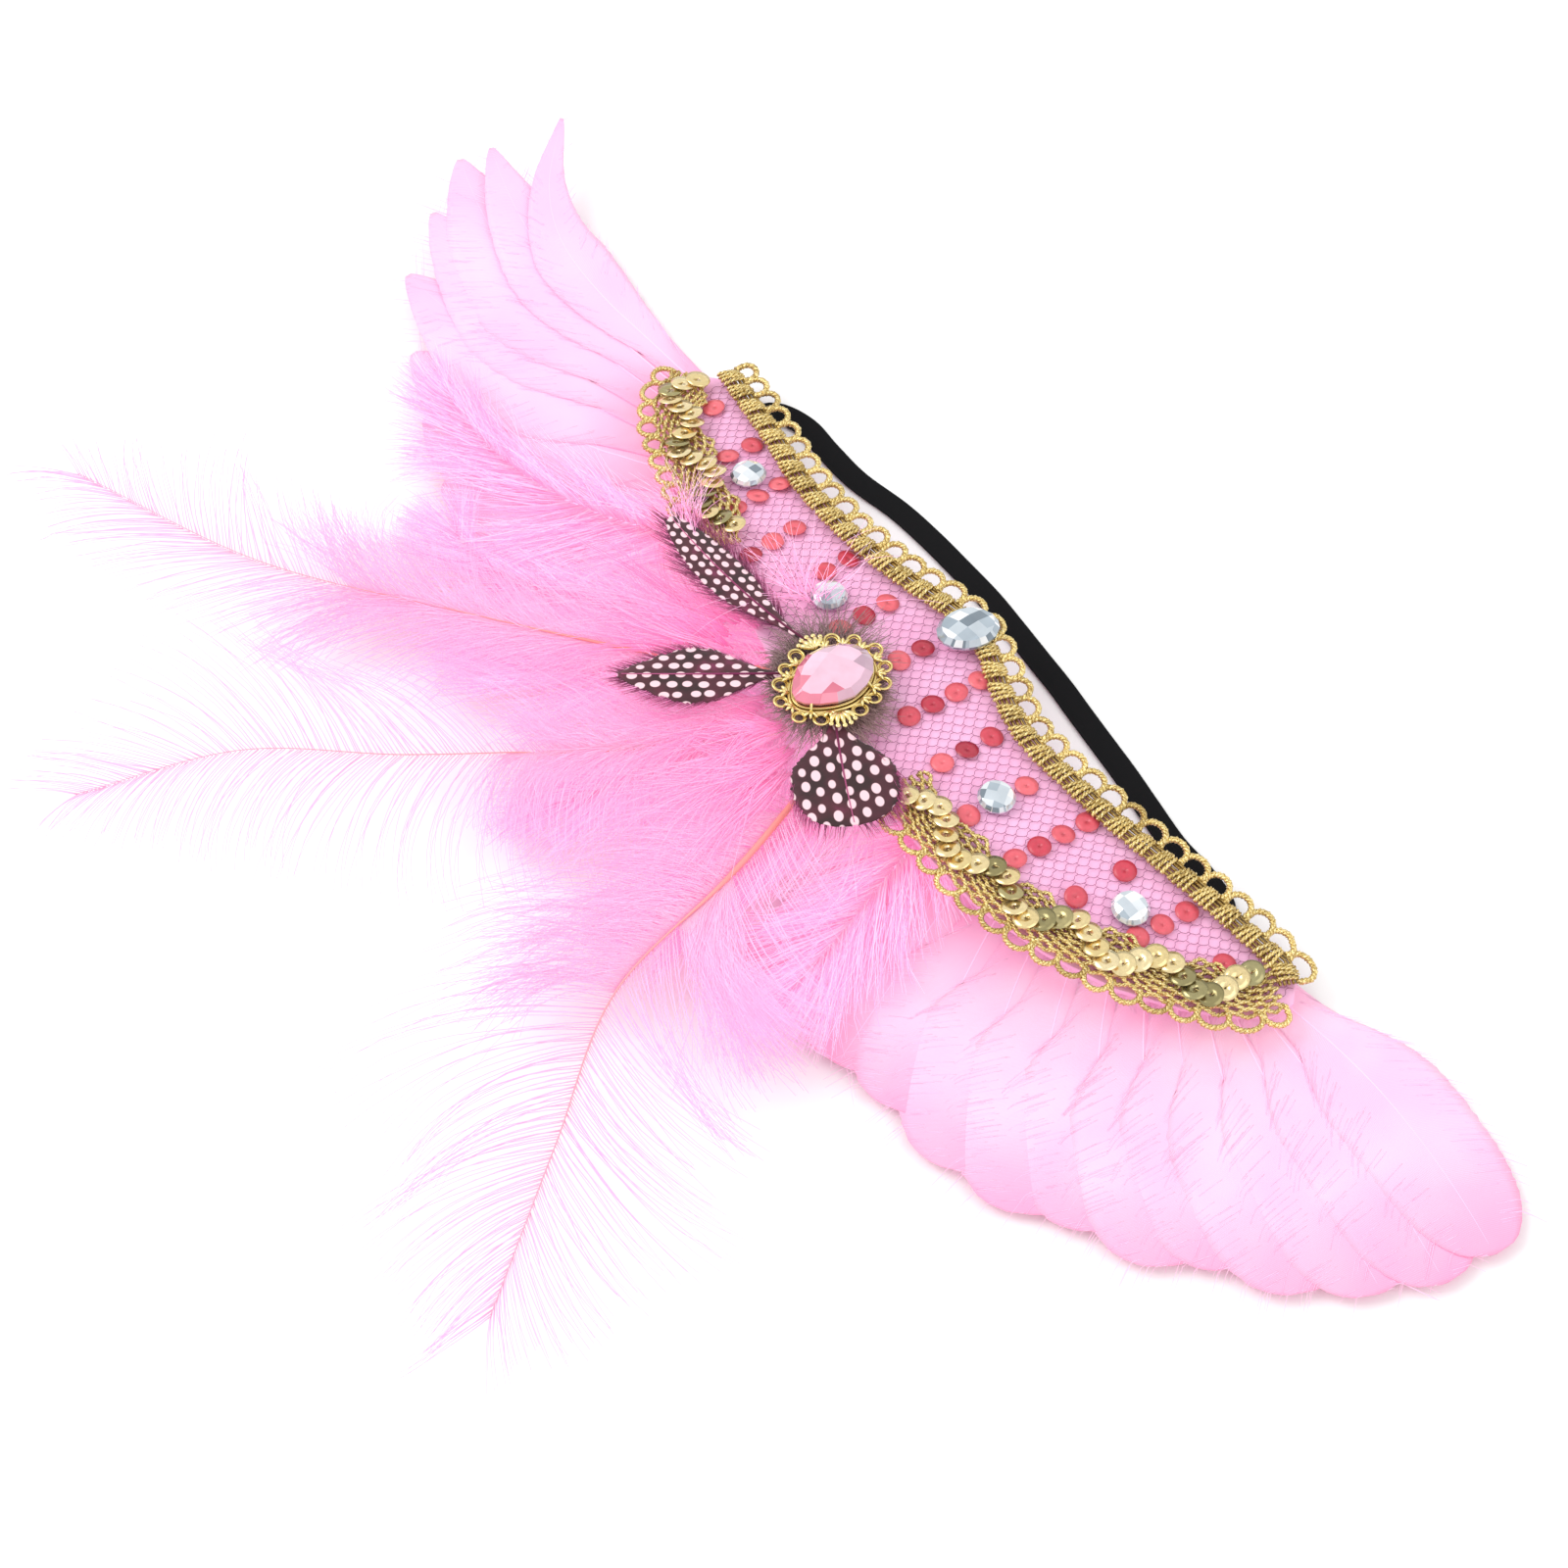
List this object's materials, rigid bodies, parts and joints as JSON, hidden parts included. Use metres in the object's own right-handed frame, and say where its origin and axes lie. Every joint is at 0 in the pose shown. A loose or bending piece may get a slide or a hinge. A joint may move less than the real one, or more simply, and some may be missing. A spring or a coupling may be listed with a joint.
{
  "type": "sequin headband",
  "caption": "Carnival headband: an arched pink panel with net, sequins, gilt trims, cut stones and a brooch, fanned pink feathers and an elastic loop.",
  "frame": {"origin": "Bottom centre of the bounding box, on the floor that the band lies on.", "axes": "+X runs along the panel towards its left end as the picture shows it, +Y is the feather side, worn upwards, and +Z is out of the panel's decorated front."},
  "size_m": [0.4516, 0.2556, 0.0357],
  "materials": {
    "pink_satin": "satin cloth on felt",
    "mauve_net": "fine hexagonal net with red sequins",
    "gold_thread": "metallic gimp braid",
    "gold_sequin": "polished",
    "gold_filigree": "gilt",
    "clear_acrylic": "faceted, mirror backed",
    "pink_acrylic": "faceted",
    "pale_pink_feather": "soft vane",
    "bright_pink_feather": "fluffy",
    "plume_pink": "fine barbs",
    "spotted_feather": "soft vane with white spots",
    "brown_down": "down",
    "black_elastic": "ribbed elastic"
  },
  "bodies": {
    "root": {"band_panel": "pink_satin", "sequin_net": "mauve_net", "lower_braid": "gold_thread", "upper_braid_left": "gold_thread", "upper_braid_right": "gold_thread", "gold_sequins_left": "gold_sequin", "gold_sequins_right": "gold_sequin", "clear_stone_1": "clear_acrylic", "clear_stone_2": "clear_acrylic", "clear_stone_3": "clear_acrylic", "clear_stone_4": "clear_acrylic", "centre_stone": "clear_acrylic", "brooch_setting": "gold_filigree", "brooch_stone": "pink_acrylic", "down_pad": "brown_down", "goose_left_01": "pale_pink_feather", "goose_left_02": "pale_pink_feather", "goose_left_03": "pale_pink_feather", "goose_left_04": "pale_pink_feather", "goose_left_05": "pale_pink_feather", "goose_left_06": "pale_pink_feather", "goose_left_07": "pale_pink_feather", "goose_left_08": "pale_pink_feather", "goose_left_09": "pale_pink_feather", "goose_left_10": "pale_pink_feather", "goose_right_01": "pale_pink_feather", "goose_right_02": "pale_pink_feather", "goose_right_03": "pale_pink_feather", "goose_right_04": "pale_pink_feather", "goose_right_05": "pale_pink_feather", "goose_right_06": "pale_pink_feather", "goose_right_07": "pale_pink_feather", "goose_right_08": "pale_pink_feather", "goose_right_09": "pale_pink_feather", "goose_right_10": "pale_pink_feather", "goose_right_11": "pale_pink_feather", "goose_right_12": "pale_pink_feather", "pink_tuft_1": "bright_pink_feather", "pink_tuft_2": "bright_pink_feather", "pink_tuft_3": "bright_pink_feather", "pink_tuft_4": "bright_pink_feather", "pink_tuft_5": "bright_pink_feather", "pink_tuft_6": "bright_pink_feather", "ostrich_plume_1": "plume_pink", "ostrich_plume_2": "plume_pink", "ostrich_plume_3": "plume_pink", "spotted_feather_1": "spotted_feather", "spotted_feather_2": "spotted_feather", "spotted_feather_3": "spotted_feather", "elastic_strap": "black_elastic"}
  },
  "joints": []
}
